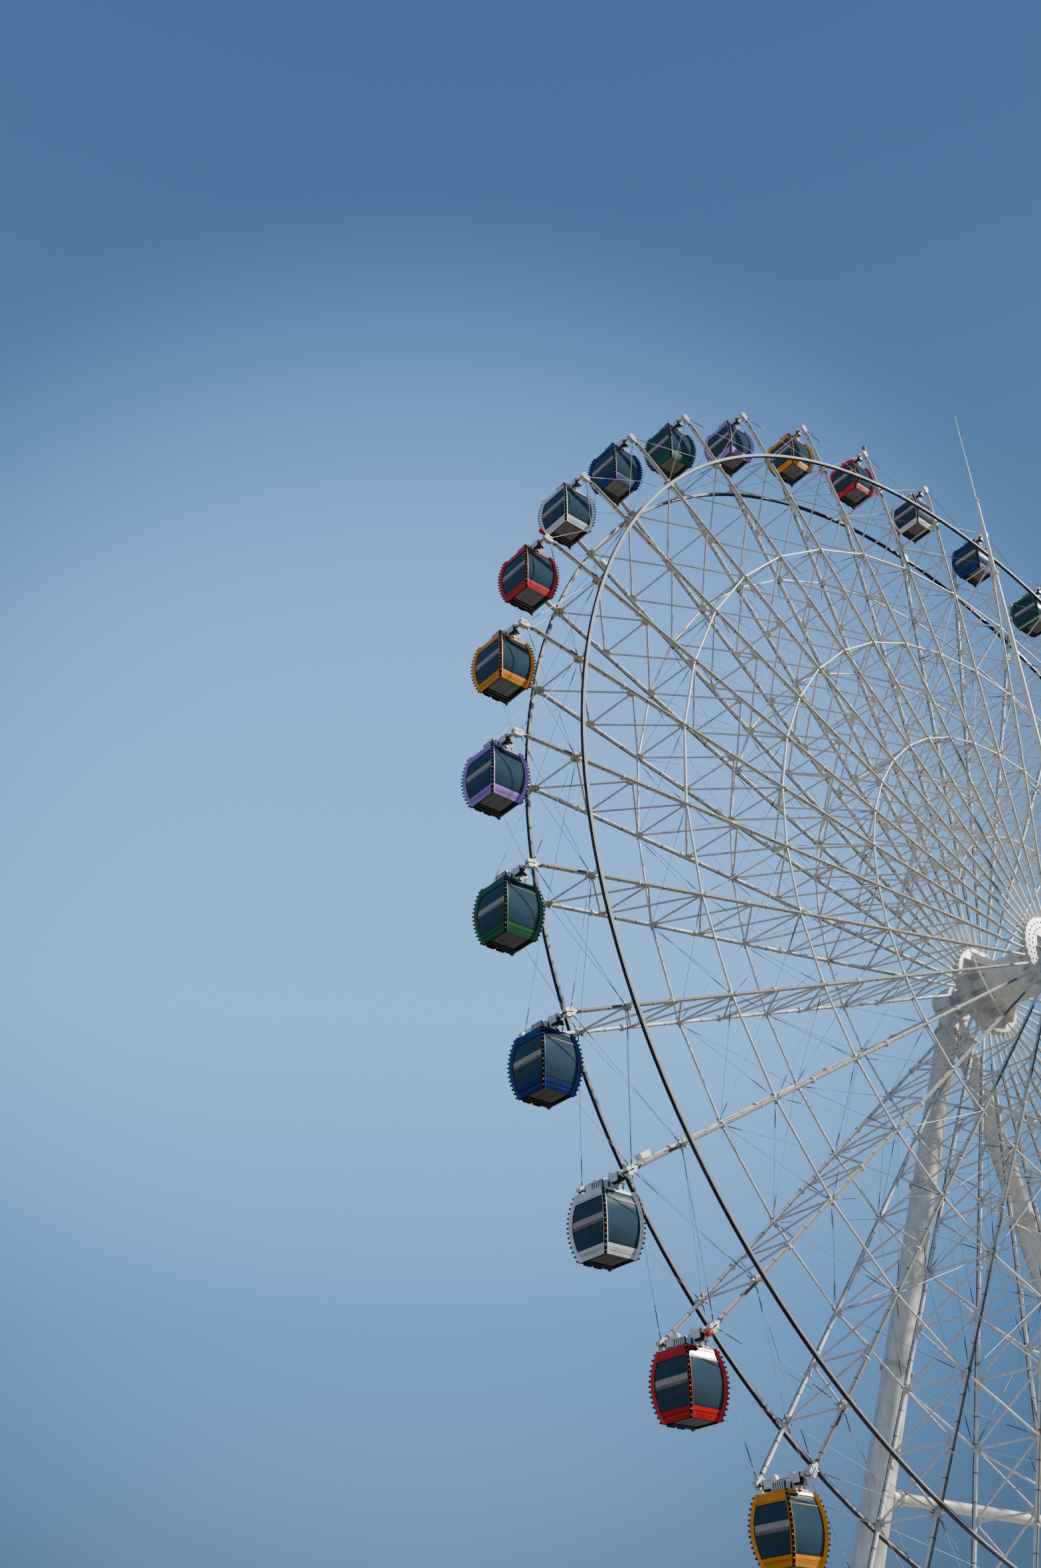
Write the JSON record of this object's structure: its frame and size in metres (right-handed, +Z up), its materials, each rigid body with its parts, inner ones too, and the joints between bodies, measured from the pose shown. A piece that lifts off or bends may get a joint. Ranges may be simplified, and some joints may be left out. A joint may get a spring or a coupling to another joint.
{
  "type": "ferris wheel, 1:2 scale model",
  "caption": "Observation wheel at 1:2 scale: ladder-truss spokes, two dark rims and level cabins on four braced legs.",
  "frame": {"origin": "on the ground under the hub, midway between the four feet", "axes": "+Z up; the axle lies along Y and the front of the wheel faces -Y; +X to the right seen from the front"},
  "size_m": [31.6388, 8.1, 34.79],
  "materials": {
    "wheel_paint": "satin",
    "rim_paint": "satin",
    "support_paint": "satin",
    "steel": "satin",
    "cabin_blue": "gloss",
    "cabin_green": "gloss",
    "cabin_lilac": "gloss",
    "cabin_orange": "gloss",
    "cabin_red": "gloss",
    "cabin_white": "gloss"
  },
  "bodies": {
    "supports": {"front_bearing_head": "support_paint", "front_left_leg": "support_paint", "front_left_foot": "steel", "front_right_leg": "support_paint", "front_right_foot": "steel", "front_tie_beam": "support_paint", "rear_bearing_head": "support_paint", "rear_left_leg": "support_paint", "rear_left_foot": "steel", "rear_right_leg": "support_paint", "rear_right_foot": "steel", "rear_tie_beam": "support_paint", "axle": "steel", "lightning_mast": "support_paint"},
    "wheel": {"wheel_sector_1": "wheel_paint", "wheel_sector_2": "wheel_paint", "wheel_sector_3": "wheel_paint", "wheel_sector_4": "wheel_paint", "wheel_sector_5": "wheel_paint", "wheel_sector_6": "wheel_paint", "front_rim": "rim_paint", "rear_rim": "rim_paint", "hub": "wheel_paint"},
    "cabin_01": {"cabin_01": "cabin_blue"},
    "cabin_02": {"cabin_02": "cabin_green"},
    "cabin_03": {"cabin_03": "cabin_lilac"},
    "cabin_04": {"cabin_04": "cabin_orange"},
    "cabin_05": {"cabin_05": "cabin_red"},
    "cabin_06": {"cabin_06": "cabin_white"},
    "cabin_07": {"cabin_07": "cabin_blue"},
    "cabin_08": {"cabin_08": "cabin_green"},
    "cabin_09": {"cabin_09": "cabin_lilac"},
    "cabin_10": {"cabin_10": "cabin_orange"},
    "cabin_11": {"cabin_11": "cabin_red"},
    "cabin_12": {"cabin_12": "cabin_white"},
    "cabin_13": {"cabin_13": "cabin_blue"},
    "cabin_14": {"cabin_14": "cabin_green"},
    "cabin_15": {"cabin_15": "cabin_lilac"},
    "cabin_16": {"cabin_16": "cabin_orange"},
    "cabin_17": {"cabin_17": "cabin_red"},
    "cabin_18": {"cabin_18": "cabin_white"},
    "cabin_19": {"cabin_19": "cabin_blue"},
    "cabin_20": {"cabin_20": "cabin_green"},
    "cabin_21": {"cabin_21": "cabin_lilac"},
    "cabin_22": {"cabin_22": "cabin_orange"},
    "cabin_23": {"cabin_23": "cabin_red"},
    "cabin_24": {"cabin_24": "cabin_white"},
    "cabin_25": {"cabin_25": "cabin_blue"},
    "cabin_26": {"cabin_26": "cabin_green"},
    "cabin_27": {"cabin_27": "cabin_lilac"},
    "cabin_28": {"cabin_28": "cabin_orange"},
    "cabin_29": {"cabin_29": "cabin_red"},
    "cabin_30": {"cabin_30": "cabin_white"},
    "cabin_31": {"cabin_31": "cabin_blue"},
    "cabin_32": {"cabin_32": "cabin_green"},
    "cabin_33": {"cabin_33": "cabin_lilac"},
    "cabin_34": {"cabin_34": "cabin_orange"},
    "cabin_35": {"cabin_35": "cabin_red"},
    "cabin_36": {"cabin_36": "cabin_white"}
  },
  "joints": [
    {"name": "wheel_spin", "type": "hinge", "parent": "supports", "child": "wheel", "pos_m": [0, 0, 17.43], "axis": [0, 1, 0], "continuous": true},
    {"name": "cabin_01_swing", "type": "hinge", "parent": "wheel", "child": "cabin_01", "pos_m": [-14.42569, 0, 12.03932], "axis": [0, 1, 0], "continuous": true},
    {"name": "cabin_02_swing", "type": "hinge", "parent": "wheel", "child": "cabin_02", "pos_m": [-15.14261, 0, 14.62622], "axis": [0, 1, 0], "continuous": true},
    {"name": "cabin_03_swing", "type": "hinge", "parent": "wheel", "child": "cabin_03", "pos_m": [-15.39944, 0, 17.2983], "axis": [0, 1, 0], "continuous": true},
    {"name": "cabin_04_swing", "type": "hinge", "parent": "wheel", "child": "cabin_04", "pos_m": [-15.18835, 0, 19.97438], "axis": [0, 1, 0], "continuous": true},
    {"name": "cabin_05_swing", "type": "hinge", "parent": "wheel", "child": "cabin_05", "pos_m": [-14.51578, 0, 22.57316], "axis": [0, 1, 0], "continuous": true},
    {"name": "cabin_06_swing", "type": "hinge", "parent": "wheel", "child": "cabin_06", "pos_m": [-13.40215, 0, 25.01566], "axis": [0, 1, 0], "continuous": true},
    {"name": "cabin_07_swing", "type": "hinge", "parent": "wheel", "child": "cabin_07", "pos_m": [-11.88131, 0, 27.22768], "axis": [0, 1, 0], "continuous": true},
    {"name": "cabin_08_swing", "type": "hinge", "parent": "wheel", "child": "cabin_08", "pos_m": [-9.99946, 0, 29.142], "axis": [0, 1, 0], "continuous": true},
    {"name": "cabin_09_swing", "type": "hinge", "parent": "wheel", "child": "cabin_09", "pos_m": [-7.81377, 0, 30.70045], "axis": [0, 1, 0], "continuous": true},
    {"name": "cabin_10_swing", "type": "hinge", "parent": "wheel", "child": "cabin_10", "pos_m": [-5.39068, 0, 31.85569], "axis": [0, 1, 0], "continuous": true},
    {"name": "cabin_11_swing", "type": "hinge", "parent": "wheel", "child": "cabin_11", "pos_m": [-2.80378, 0, 32.57261], "axis": [0, 1, 0], "continuous": true},
    {"name": "cabin_12_swing", "type": "hinge", "parent": "wheel", "child": "cabin_12", "pos_m": [-0.1317, 0, 32.82944], "axis": [0, 1, 0], "continuous": true},
    {"name": "cabin_13_swing", "type": "hinge", "parent": "wheel", "child": "cabin_13", "pos_m": [2.54438, 0, 32.61835], "axis": [0, 1, 0], "continuous": true},
    {"name": "cabin_14_swing", "type": "hinge", "parent": "wheel", "child": "cabin_14", "pos_m": [5.14316, 0, 31.94578], "axis": [0, 1, 0], "continuous": true},
    {"name": "cabin_15_swing", "type": "hinge", "parent": "wheel", "child": "cabin_15", "pos_m": [7.58566, 0, 30.83215], "axis": [0, 1, 0], "continuous": true},
    {"name": "cabin_16_swing", "type": "hinge", "parent": "wheel", "child": "cabin_16", "pos_m": [9.79768, 0, 29.31131], "axis": [0, 1, 0], "continuous": true},
    {"name": "cabin_17_swing", "type": "hinge", "parent": "wheel", "child": "cabin_17", "pos_m": [11.712, 0, 27.42946], "axis": [0, 1, 0], "continuous": true},
    {"name": "cabin_18_swing", "type": "hinge", "parent": "wheel", "child": "cabin_18", "pos_m": [13.27045, 0, 25.24377], "axis": [0, 1, 0], "continuous": true},
    {"name": "cabin_19_swing", "type": "hinge", "parent": "wheel", "child": "cabin_19", "pos_m": [14.42569, 0, 22.82068], "axis": [0, 1, 0], "continuous": true},
    {"name": "cabin_20_swing", "type": "hinge", "parent": "wheel", "child": "cabin_20", "pos_m": [15.14261, 0, 20.23378], "axis": [0, 1, 0], "continuous": true},
    {"name": "cabin_21_swing", "type": "hinge", "parent": "wheel", "child": "cabin_21", "pos_m": [15.39944, 0, 17.5617], "axis": [0, 1, 0], "continuous": true},
    {"name": "cabin_22_swing", "type": "hinge", "parent": "wheel", "child": "cabin_22", "pos_m": [15.18835, 0, 14.88562], "axis": [0, 1, 0], "continuous": true},
    {"name": "cabin_23_swing", "type": "hinge", "parent": "wheel", "child": "cabin_23", "pos_m": [14.51578, 0, 12.28684], "axis": [0, 1, 0], "continuous": true},
    {"name": "cabin_24_swing", "type": "hinge", "parent": "wheel", "child": "cabin_24", "pos_m": [13.40215, 0, 9.84434], "axis": [0, 1, 0], "continuous": true},
    {"name": "cabin_25_swing", "type": "hinge", "parent": "wheel", "child": "cabin_25", "pos_m": [11.88131, 0, 7.63232], "axis": [0, 1, 0], "continuous": true},
    {"name": "cabin_26_swing", "type": "hinge", "parent": "wheel", "child": "cabin_26", "pos_m": [9.99946, 0, 5.718], "axis": [0, 1, 0], "continuous": true},
    {"name": "cabin_27_swing", "type": "hinge", "parent": "wheel", "child": "cabin_27", "pos_m": [7.81377, 0, 4.15955], "axis": [0, 1, 0], "continuous": true},
    {"name": "cabin_28_swing", "type": "hinge", "parent": "wheel", "child": "cabin_28", "pos_m": [5.39068, 0, 3.00431], "axis": [0, 1, 0], "continuous": true},
    {"name": "cabin_29_swing", "type": "hinge", "parent": "wheel", "child": "cabin_29", "pos_m": [2.80378, 0, 2.28739], "axis": [0, 1, 0], "continuous": true},
    {"name": "cabin_30_swing", "type": "hinge", "parent": "wheel", "child": "cabin_30", "pos_m": [0.1317, 0, 2.03056], "axis": [0, 1, 0], "continuous": true},
    {"name": "cabin_31_swing", "type": "hinge", "parent": "wheel", "child": "cabin_31", "pos_m": [-2.54438, 0, 2.24165], "axis": [0, 1, 0], "continuous": true},
    {"name": "cabin_32_swing", "type": "hinge", "parent": "wheel", "child": "cabin_32", "pos_m": [-5.14316, 0, 2.91422], "axis": [0, 1, 0], "continuous": true},
    {"name": "cabin_33_swing", "type": "hinge", "parent": "wheel", "child": "cabin_33", "pos_m": [-7.58566, 0, 4.02785], "axis": [0, 1, 0], "continuous": true},
    {"name": "cabin_34_swing", "type": "hinge", "parent": "wheel", "child": "cabin_34", "pos_m": [-9.79768, 0, 5.54869], "axis": [0, 1, 0], "continuous": true},
    {"name": "cabin_35_swing", "type": "hinge", "parent": "wheel", "child": "cabin_35", "pos_m": [-11.712, 0, 7.43054], "axis": [0, 1, 0], "continuous": true},
    {"name": "cabin_36_swing", "type": "hinge", "parent": "wheel", "child": "cabin_36", "pos_m": [-13.27045, 0, 9.61623], "axis": [0, 1, 0], "continuous": true}
  ],
  "couplings": [
    {"joint": "cabin_01_swing", "follows": "wheel_spin", "ratio": -1},
    {"joint": "cabin_02_swing", "follows": "wheel_spin", "ratio": -1},
    {"joint": "cabin_03_swing", "follows": "wheel_spin", "ratio": -1},
    {"joint": "cabin_04_swing", "follows": "wheel_spin", "ratio": -1},
    {"joint": "cabin_05_swing", "follows": "wheel_spin", "ratio": -1},
    {"joint": "cabin_06_swing", "follows": "wheel_spin", "ratio": -1},
    {"joint": "cabin_07_swing", "follows": "wheel_spin", "ratio": -1},
    {"joint": "cabin_08_swing", "follows": "wheel_spin", "ratio": -1},
    {"joint": "cabin_09_swing", "follows": "wheel_spin", "ratio": -1},
    {"joint": "cabin_10_swing", "follows": "wheel_spin", "ratio": -1},
    {"joint": "cabin_11_swing", "follows": "wheel_spin", "ratio": -1},
    {"joint": "cabin_12_swing", "follows": "wheel_spin", "ratio": -1},
    {"joint": "cabin_13_swing", "follows": "wheel_spin", "ratio": -1},
    {"joint": "cabin_14_swing", "follows": "wheel_spin", "ratio": -1},
    {"joint": "cabin_15_swing", "follows": "wheel_spin", "ratio": -1},
    {"joint": "cabin_16_swing", "follows": "wheel_spin", "ratio": -1},
    {"joint": "cabin_17_swing", "follows": "wheel_spin", "ratio": -1},
    {"joint": "cabin_18_swing", "follows": "wheel_spin", "ratio": -1},
    {"joint": "cabin_19_swing", "follows": "wheel_spin", "ratio": -1},
    {"joint": "cabin_20_swing", "follows": "wheel_spin", "ratio": -1},
    {"joint": "cabin_21_swing", "follows": "wheel_spin", "ratio": -1},
    {"joint": "cabin_22_swing", "follows": "wheel_spin", "ratio": -1},
    {"joint": "cabin_23_swing", "follows": "wheel_spin", "ratio": -1},
    {"joint": "cabin_24_swing", "follows": "wheel_spin", "ratio": -1},
    {"joint": "cabin_25_swing", "follows": "wheel_spin", "ratio": -1},
    {"joint": "cabin_26_swing", "follows": "wheel_spin", "ratio": -1},
    {"joint": "cabin_27_swing", "follows": "wheel_spin", "ratio": -1},
    {"joint": "cabin_28_swing", "follows": "wheel_spin", "ratio": -1},
    {"joint": "cabin_29_swing", "follows": "wheel_spin", "ratio": -1},
    {"joint": "cabin_30_swing", "follows": "wheel_spin", "ratio": -1},
    {"joint": "cabin_31_swing", "follows": "wheel_spin", "ratio": -1},
    {"joint": "cabin_32_swing", "follows": "wheel_spin", "ratio": -1},
    {"joint": "cabin_33_swing", "follows": "wheel_spin", "ratio": -1},
    {"joint": "cabin_34_swing", "follows": "wheel_spin", "ratio": -1},
    {"joint": "cabin_35_swing", "follows": "wheel_spin", "ratio": -1},
    {"joint": "cabin_36_swing", "follows": "wheel_spin", "ratio": -1}
  ]
}
